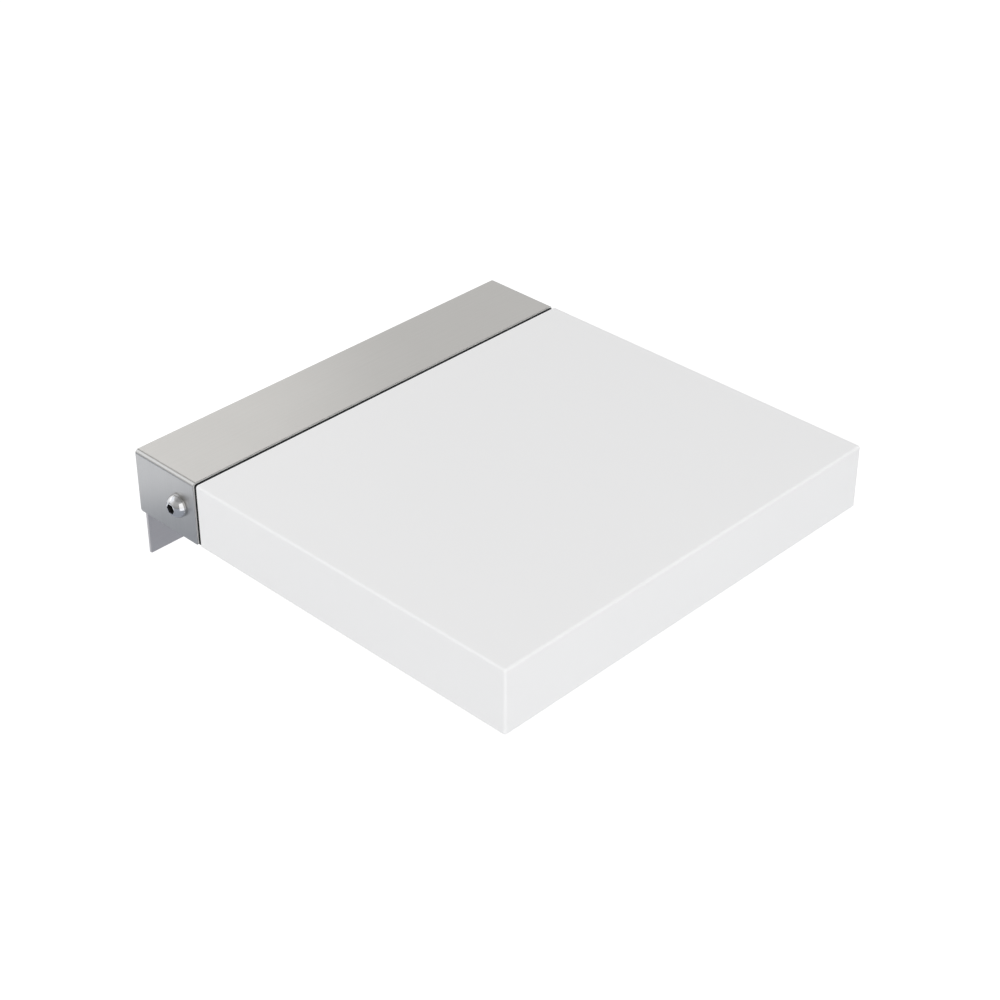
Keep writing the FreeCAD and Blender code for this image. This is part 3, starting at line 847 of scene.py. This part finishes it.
def nut_mesh(across_flats, thickness, bore_radius, steps=48):
    """Hexagon nut on Z = 0 with chamfered corners and bore"""
    corner = across_flats / math.sqrt(3)
    flat = across_flats * 0.475
    fall = (corner - flat) * math.tan(math.radians(30))
    lead = 0.3 * MM
    bm = bmesh.new()
    outline = [(bore_radius, lead), (bore_radius + lead, 0), (flat, 0), (corner, fall),
               (corner, thickness - fall), (flat, thickness), (bore_radius + lead, thickness),
               (bore_radius, thickness - lead)]
    verts = [bm.verts.new((r, 0, z)) for r, z in outline]
    edges = [bm.edges.new((a, b)) for a, b in zip(verts, verts[1:] + verts[:1])]
    lathe(bm, edges, steps)
    for number in range(6):
        bearing = math.radians(30 + 60 * number)
        outwards = Vector((math.cos(bearing), math.sin(bearing), 0))
        cut_off(bm, outwards * across_flats / 2, outwards)
        close_rim(bm, [e for e in bm.edges if e.is_boundary])
    face_outwards(bm)
    return bm


def lock_nut_mesh(node):
    across_flats = 13.0 * MM
    bore_radius = 4.05 * MM
    low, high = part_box(node)
    bm = nut_mesh(across_flats, high.y - low.y, bore_radius)
    place_from_rear(bm, low, high)
    return bm


def stud_centres():
    """Centres of the cover's three studs, which stand in one row along X"""
    low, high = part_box("cover_studs")
    radius = (high.y - low.y) / 2
    y = (low.y + high.y) / 2
    return [Vector((x, y, 0)) for x in (low.x + radius, (low.x + high.x) / 2, high.x - radius)]


def studs_mesh(screws):
    """Threaded weld studs that hang from the inside of the cover"""
    low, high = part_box("cover_studs")
    bm = bmesh.new()
    for centre in stud_centres():
        stud = bmesh.new()
        rim = threaded_rod(stud, (high.y - low.y) / 2, screws.stud_pitch, high.z - low.z, steps=24)
        close_rim(stud, rim)
        face_outwards(stud)
        add_shape(bm, stud, centre + Z_AXIS * low.z)
    return bm


def stud_nuts_mesh():
    across_flats = 8.0 * MM
    bore_radius = 2.55 * MM
    low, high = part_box("cover_nuts")
    bm = bmesh.new()
    for centre in stud_centres():
        nut = nut_mesh(across_flats, high.z - low.z, bore_radius, steps=36)
        add_shape(bm, nut, centre + Z_AXIS * low.z)
    return bm


def panel_screws_mesh():
    """Countersunk screws in the underside of the board, in two columns of three"""
    head_radius = 4.2 * MM
    shank_radius = 2.0 * MM
    mouth_radius = 1.3 * MM
    bevel = 0.1 * MM
    tip = 0.9 * MM
    socket = 2.0 * MM
    socket_depth = 1.9 * MM
    low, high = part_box("panel_screws")
    cone = head_radius - shank_radius
    shank = high.z - low.z - cone - bevel - tip
    bm = bmesh.new()
    for x in (low.x + head_radius, high.x - head_radius):
        for y in (low.y + head_radius, (low.y + high.y) / 2, high.y - head_radius):
            screw = bmesh.new()
            grow(screw, screw.verts.new((mouth_radius, 0, 0)),
                 (head_radius - bevel - mouth_radius, 0, 0),
                 (bevel, 0, -bevel),
                 (-cone, 0, -cone),
                 (0, 0, -shank),
                 (-shank_radius, 0, -tip))
            lathe(screw, screw.edges[:], 36)
            socket_in(screw, open_rim(screw, lambda z: z > -TINY), 0, socket, socket_depth)
            face_outwards(screw)
            place(screw, ORIGIN, -Z_AXIS)
            add_shape(bm, screw, Vector((x, y, low.z)))
    return bm


# A weld bead's radius swings about its mean from ripple to ripple
BEAD_MEAN = 0.92
BEAD_SWING = 0.08
BEAD_END = 0.6
BEAD_FACETS = 8


def bead_ring(bm, x, tube_low, tube_high, welds):
    """Ring of rippled weld, half sunk in the corner between a plate and a tube about the axle"""
    radius = (tube_high.z - tube_low.z) / 2
    ripples = round(FULL_TURN * radius / welds.ripple)
    upright = Matrix.Translation((radius, 0, 0)) @ Matrix.Rotation(RIGHT_ANGLE, 4, "X")
    ring = bmesh.new()
    bmesh.ops.create_circle(ring, segments=BEAD_FACETS, radius=welds.bead, matrix=upright)
    lathe(ring, ring.edges[:], ripples * 2)
    for vert in ring.verts:
        bearing = math.atan2(vert.co.y, vert.co.x)
        middle = Vector((math.cos(bearing), math.sin(bearing), 0)) * radius
        swing = BEAD_MEAN + BEAD_SWING * math.cos(bearing * ripples)
        vert.co = middle + (vert.co - middle) * swing
    place(ring, ORIGIN, X_AXIS)
    add_shape(bm, ring, Vector((x, pivot.y, pivot.z)))


def bead_line(bm, x, start, end, welds):
    """Straight weld with ripples along a corner, from one Y and Z to another"""
    start = Vector((x, *start))
    along = Vector((x, *end)) - start
    count = 2 * round(along.length / welds.ripple)
    line = bmesh.new()
    bmesh.ops.create_circle(line, segments=BEAD_FACETS, radius=welds.bead * BEAD_END)
    rim = line.edges[:]
    close_rim(line, rim)
    for number in range(1, count + 1):
        width = BEAD_END if number == count else BEAD_MEAN + BEAD_SWING * (-1) ** number
        rim = end_ring(line, rim, along.length * number / count, welds.bead * width)
    close_rim(line, rim)
    face_outwards(line)
    place(line, ORIGIN, along.normalized())
    add_shape(bm, line, start)


def bracket_welds_mesh(welds):
    """Beads between wall plate, hinge arms, bearing housings and stop bar"""
    bm = bmesh.new()
    margin = welds.bead
    plate_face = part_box("wall_plate")[0].y
    bar_low, bar_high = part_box("stop_bar")
    for side, sign in SIDES.items():
        low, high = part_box(side + "_hinge_arm")
        arm = frame["nodes"][side + "_hinge_arm"].data
        landing = max(v.co.z for v in arm.vertices if v.co.y > plate_face - TINY)
        for x in (low.x, high.x):
            bead_line(bm, x, (plate_face, low.z + margin), (plate_face, landing - margin), welds)
            bead_ring(bm, x, *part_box(side + "_bearing_housing"), welds)
        inner_x = low.x if sign > 0 else high.x
        for z in (bar_low.z, bar_high.z):
            bead_line(bm, inner_x, (bar_low.y + margin, z), (bar_high.y, z), welds)
        bead_line(bm, inner_x, (bar_high.y, bar_low.z), (bar_high.y, bar_high.z), welds)
    return bm


def axle_welds_mesh(welds):
    """Beads between the axle and the inner faces of the seat arms"""
    bm = bmesh.new()
    for side, sign in SIDES.items():
        low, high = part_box(side + "_seat_arm")
        bead_ring(bm, low.x if sign > 0 else high.x, *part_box("pivot_axle"), welds)
    return bm


# Widths in millimetres by which the edges of cut and machined parts are broken
BROKEN_EDGES = {
    "wall_plate": 0.25, "stop_bar": 0.4, "hinge_arm": 0.4, "bearing_housing": 0.4,
    "seat_arm": 0.4, "stop_block": 0.4, "mounting_plate": 0.3, "front_tie": 0.4,
    "cover_rail": 0.3, "bottom_panel": 0.4, "inner_bush": 0.2, "outer_bush": 0.2,
    "park_buffer": 0.8, "gap_seal": 0.3, "pivot_axle": 0.5, "cover_washers": 0.15,
}


def softened_mesh(node, width):
    """Construction node with its loose triangles joined into whole faces and its edges broken"""
    flat_angle = math.radians(0.5)
    edge_angle = math.radians(35)
    bm = bmesh.new()
    bm.from_mesh(frame["nodes"][node].data)
    bmesh.ops.remove_doubles(bm, verts=bm.verts, dist=TINY)
    bmesh.ops.dissolve_limit(bm, angle_limit=flat_angle, verts=bm.verts, edges=bm.edges)
    round_edges(bm, sharp_edges(bm, edge_angle), width, 2)
    return bm


# Studio

def direction(azimuth, elevation):
    """Unit vector from the seat to a place at an azimuth and elevation, 0 looks along +Y"""
    return Vector((math.sin(azimuth) * math.cos(elevation),
                   -math.cos(azimuth) * math.cos(elevation), math.sin(elevation)))


def add_camera(context, stage):
    data = bpy.data.cameras.new("camera")
    data.sensor_width = 36
    data.lens = stage.lens
    data.clip_start = 0.05
    data.clip_end = 50
    camera = new_object(context, "camera", data)
    back = direction(stage.camera_azimuth, stage.camera_elevation)
    right = Z_AXIS.cross(back).normalized()
    upright = Matrix((right, back.cross(right), back)).transposed().to_4x4()
    camera.matrix_world = (Matrix.Translation(stage.camera_place) @ upright
                           @ Matrix.Rotation(stage.camera_roll, 4, "Z"))
    context.scene.camera = camera


def add_floor(context, stage):
    width = 12.0
    bm = bmesh.new()
    bmesh.ops.create_grid(bm, x_segments=1, y_segments=1, size=width / 2)
    bmesh.ops.translate(bm, verts=bm.verts, vec=Z_AXIS * (cad_bounds[1].z - stage.floor_drop))
    floor = mesh_object(context, "floor", bm)
    floor.data.materials.append(floor_material())


def floor_material():
    """Pale floor: the camera sees it as white, with the seat's shadow kept

    The grey that the camera sees and the white glow add up to white in plain light.
    """
    material = bpy.data.materials.new("pale floor")
    tree = cleared_tree(material)
    matt = shader_node(tree, "ShaderNodeBsdfDiffuse", {"Color": (0.80, 0.80, 0.80, 1)})
    mirrored = shader_node(tree, "ShaderNodeBsdfDiffuse", {"Color": (0.457, 0.488, 0.548, 1)})
    shown = shader_node(tree, "ShaderNodeBsdfDiffuse", {"Color": (0.30, 0.30, 0.30, 1)})
    glow = shader_node(tree, "ShaderNodeEmission", {"Color": (1, 1, 1, 1), "Strength": 0.84})
    white = shader_node(tree, "ShaderNodeAddShader", {0: shown.outputs[0], 1: glow.outputs[0]})
    rays = shader_node(tree, "ShaderNodeLightPath").outputs
    unseen = choose(tree, rays["Is Glossy Ray"], matt, mirrored)
    seen = choose(tree, rays["Is Camera Ray"], unseen, white)
    shader_node(tree, "ShaderNodeOutputMaterial", {"Surface": seen.outputs[0]})
    return material


def add_area(context, name, degrees, distance, size, energy, target):
    """Area light at an azimuth and elevation in degrees round a target that it faces"""
    data = bpy.data.lights.new(name, "AREA")
    data.shape = "RECTANGLE"
    data.size, data.size_y = size
    data.energy = energy
    lamp = new_object(context, name, data)
    towards = direction(*map(math.radians, degrees))
    facing = towards.to_track_quat("Z", "Y").to_matrix().to_4x4()
    lamp.matrix_world = Matrix.Translation(target + towards * distance) @ facing
    lamp.visible_camera = False
    return lamp


def add_lamps(context):
    """Large soft lamps that light the seat, and cards that only show in its polished metal"""
    lamp_distance = 3.6
    seat = (cad_bounds[0] + cad_bounds[1]) / 2
    cheek = Vector((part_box("hinge_cover")[0].x, pivot.y, pivot.z))
    upper_cheek = cheek + Z_AXIS * 0.036
    cool = (0.78, 0.86, 1.0)
    white = (1, 1, 1)

    # Place, size and the part of plain light that the lamp gives a face turned to it
    for name, degrees, size, light in (
            ("key light", (-46, 48), (3.0, 3.0), 0.22),
            ("left fill", (-100, 12), (3.0, 2.2), 0.15),
            ("front fill", (6, 12), (3.0, 2.2), 0.185)):
        energy = light * math.pi ** 2 * lamp_distance ** 2
        lamp = add_area(context, name, degrees, lamp_distance, size, energy, seat)
        lamp.visible_glossy = False

    # Place, distance, size and brightness of the cards, where 1 is plain white
    for name, degrees, distance, size, brightness, target, tint in (
            ("rear card", (157.7, 30), 1.6, (0.66, 0.8), 0.42, seat, white),
            ("bend card", (-144.5, 32), 1.6, (1.05, 1.05), 0.42, seat, cool),
            ("crescent card", (-178, 7), 0.62, (0.72, 0.56), 0.55, cheek, white),
            ("front card", (-17, 8), 0.65, (0.52, 0.85), 0.9, cheek, white),
            ("cheek card", (-144.5, -32), 0.33, (0.30, 0.066), 0.63, upper_cheek, white)):
        energy = brightness * math.pi * size[0] * size[1]
        card = add_area(context, name, degrees, distance, size, energy, target)
        card.data.color = tint
        card.visible_diffuse = False


def ceiling_light(tree, view):
    """Light that reflections see: brighter with height, with a dark joint across the ceiling

    It is dimmer straight overhead and towards the room.
    """
    bright = 0.88
    joint_place = 0.19
    parts = shader_node(tree, "ShaderNodeSeparateXYZ", {0: view}).outputs
    height = parts["Z"]
    light = ramp(tree, height, 0.0, 0.4, 0.59, bright)
    slope = maths(tree, "DIVIDE", parts["X"], height)
    beside = maths(tree, "ABSOLUTE", maths(tree, "SUBTRACT", slope, joint_place))
    joint_depth = ramp(tree, height, 0.50, 0.60, 0.0, bright)
    joint = ramp(tree, beside, 0.07, 0.19, joint_depth, 0.0, interpolation_type="SMOOTHSTEP")
    for factor in (maths(tree, "SUBTRACT", 1.0, joint),
                   ramp(tree, height, 0.74, 0.86, 1.0, 0.7),
                   ramp(tree, parts["Y"], 0.05, 0.35, 0.65, 1.0)):
        light = maths(tree, "MULTIPLY", light, factor)
    return light


def add_surroundings(context, stage):
    """White surroundings: plain white to the camera, a soft studio to everything else"""
    world = bpy.data.worlds.new("studio")
    context.scene.world = world
    tree = cleared_tree(world)
    rays = shader_node(tree, "ShaderNodeLightPath").outputs
    mirror_ray = maths(tree, "MAXIMUM", rays["Is Glossy Ray"], rays["Is Transmission Ray"])
    view = shader_node(tree, "ShaderNodeTexCoord").outputs["Generated"]
    plain, mirrored, light = [
        shader_node(tree, "ShaderNodeBackground", {"Color": (1, 1, 1, 1), "Strength": strength})
        for strength in (1.0, ceiling_light(tree, view), stage.sky_strength)]
    indirect = choose(tree, mirror_ray, light, mirrored)
    everything = choose(tree, rays["Is Camera Ray"], indirect, plain)
    shader_node(tree, "ShaderNodeOutputWorld", {"Surface": everything.outputs[0]})


# Operators

class WALLSEAT_OT_stage(bpy.types.Operator):
    """Floor, light and the camera at the photograph's view"""
    bl_idname = "wallseat.stage"
    bl_label = "Studio"

    def execute(self, context):
        stage = context.scene.wall_seat.stage
        add_camera(context, stage)
        add_floor(context, stage)
        add_lamps(context)
        add_surroundings(context, stage)
        context.scene.view_settings.view_transform = "Standard"
        return {"FINISHED"}


class WALLSEAT_OT_board(bpy.types.Operator):
    """White board with soft edges, hollow and slotted for the seat arms"""
    bl_idname = "wallseat.board"
    bl_label = "Board"

    def execute(self, context):
        make_piece(board_mesh(context.scene.wall_seat.board), "board", "seat_shell",
                   replaces=["seat_shell"])
        return {"FINISHED"}


class WALLSEAT_OT_cover(bpy.types.Operator):
    """Folded steel cover over the hinge"""
    bl_idname = "wallseat.cover"
    bl_label = "Hinge cover"

    def execute(self, context):
        make_piece(cover_mesh(context.scene.wall_seat.cover), "folded_cover", "hinge_cover",
                   second_finish="cut_edge", replaces=["hinge_cover"],
                   sharp_angle=math.radians(60))
        return {"FINISHED"}


class WALLSEAT_OT_pivot_screws(bpy.types.Operator):
    """Dome-head screws in the two cheeks"""
    bl_idname = "wallseat.pivot_screws"
    bl_label = "Pivot screws"

    def execute(self, context):
        for side, sign in SIDES.items():
            node = side + "_pivot_screw"
            make_piece(dome_screw_mesh(side, sign, context.scene.wall_seat.screws),
                       side + "_dome_screw", node, second_finish="socket_painted_shade", replaces=[node])
        return {"FINISHED"}


class WALLSEAT_OT_fasteners(bpy.types.Operator):
    """Threaded stop screws and studs, nuts and the board's panel screws"""
    bl_idname = "wallseat.fasteners"
    bl_label = "Screws and nuts"

    def execute(self, context):
        screws = context.scene.wall_seat.screws
        thread_angle = math.radians(50)
        nut_angle = math.radians(25)
        for side in SIDES:
            screw = side + "_stop_screw"
            nut = side + "_lock_nut"
            make_piece(stop_screw_mesh(screw, screws), screw + "_threaded", screw,
                       second_finish="socket_painted_shade", replaces=[screw], sharp_angle=thread_angle)
            make_piece(lock_nut_mesh(nut), nut + "_chamfered", nut, replaces=[nut],
                       sharp_angle=nut_angle)
        make_piece(studs_mesh(screws), "cover_studs_threaded", "cover_studs",
                   replaces=["cover_studs"], sharp_angle=thread_angle)
        make_piece(stud_nuts_mesh(), "cover_nuts_chamfered", "cover_nuts",
                   replaces=["cover_nuts"], sharp_angle=nut_angle)
        make_piece(panel_screws_mesh(), "panel_screws_flat", "panel_screws",
                   second_finish="socket_painted_shade", replaces=["panel_screws"])
        return {"FINISHED"}


class WALLSEAT_OT_welds(bpy.types.Operator):
    """Weld beads of the wall bracket and the axle"""
    bl_idname = "wallseat.welds"
    bl_label = "Weld beads"

    def execute(self, context):
        welds = context.scene.wall_seat.welds
        bead_angle = math.radians(75)
        make_piece(bracket_welds_mesh(welds), "bracket_welds", "stop_bar", sharp_angle=bead_angle)
        make_piece(axle_welds_mesh(welds), "axle_welds", "pivot_axle", sharp_angle=bead_angle)
        return {"FINISHED"}


class WALLSEAT_OT_metalwork(bpy.types.Operator):
    """Cut and machined parts with their edges broken"""
    bl_idname = "wallseat.metalwork"
    bl_label = "Machined parts"

    def execute(self, context):
        for node in sorted(frame["nodes"]):
            kind = node.removeprefix("left_").removeprefix("right_")
            if kind in BROKEN_EDGES:
                make_piece(softened_mesh(node, BROKEN_EDGES[kind] * MM), node + "_part", node,
                           finish="plate_stainless" if node == "wall_plate" else None,
                           replaces=[node])
        return {"FINISHED"}


class WALLSEAT_OT_kept_nodes(bpy.types.Operator):
    """Finishes on the nodes of the construction, for those that no piece replaces"""
    bl_idname = "wallseat.kept_nodes"
    bl_label = "Inner parts"

    def execute(self, context):
        for name, node in frame["nodes"].items():
            node.data.materials.clear()
            node.data.materials.append(finish_material(slot_of[name]))
        return {"FINISHED"}


OPERATORS = (WALLSEAT_OT_stage, WALLSEAT_OT_board, WALLSEAT_OT_cover, WALLSEAT_OT_pivot_screws,
             WALLSEAT_OT_fasteners, WALLSEAT_OT_welds, WALLSEAT_OT_metalwork,
             WALLSEAT_OT_kept_nodes)


class WALLSEAT_PT_panel(bpy.types.Panel):
    """Builders and settings of the wall seat"""
    bl_idname = "WALLSEAT_PT_panel"
    bl_label = "Wall Seat"
    bl_space_type = "VIEW_3D"
    bl_region_type = "UI"
    bl_category = "Wall Seat"

    def draw(self, context):
        layout = self.layout
        for operator in OPERATORS:
            layout.operator(operator.bl_idname)
        settings = context.scene.wall_seat
        for group in (settings.board, settings.cover, settings.screws, settings.welds,
                      settings.stage):
            box = layout.box()
            for name in group.__annotations__:
                box.prop(group, name)


CLASSES = (BoardSettings, CoverSettings, ScrewSettings, WeldSettings, StageSettings,
           WallSeatSettings, *OPERATORS, WALLSEAT_PT_panel)


def register():
    for item in CLASSES:
        bpy.utils.register_class(item)
    bpy.types.Scene.wall_seat = PointerProperty(type=WallSeatSettings)


def unregister():
    del bpy.types.Scene.wall_seat
    for item in reversed(CLASSES):
        bpy.utils.unregister_class(item)


def main():
    register()
    for operator in OPERATORS:
        group, name = operator.bl_idname.split(".")
        getattr(getattr(bpy.ops, group), name)()


if __name__ == "__main__":
    main()
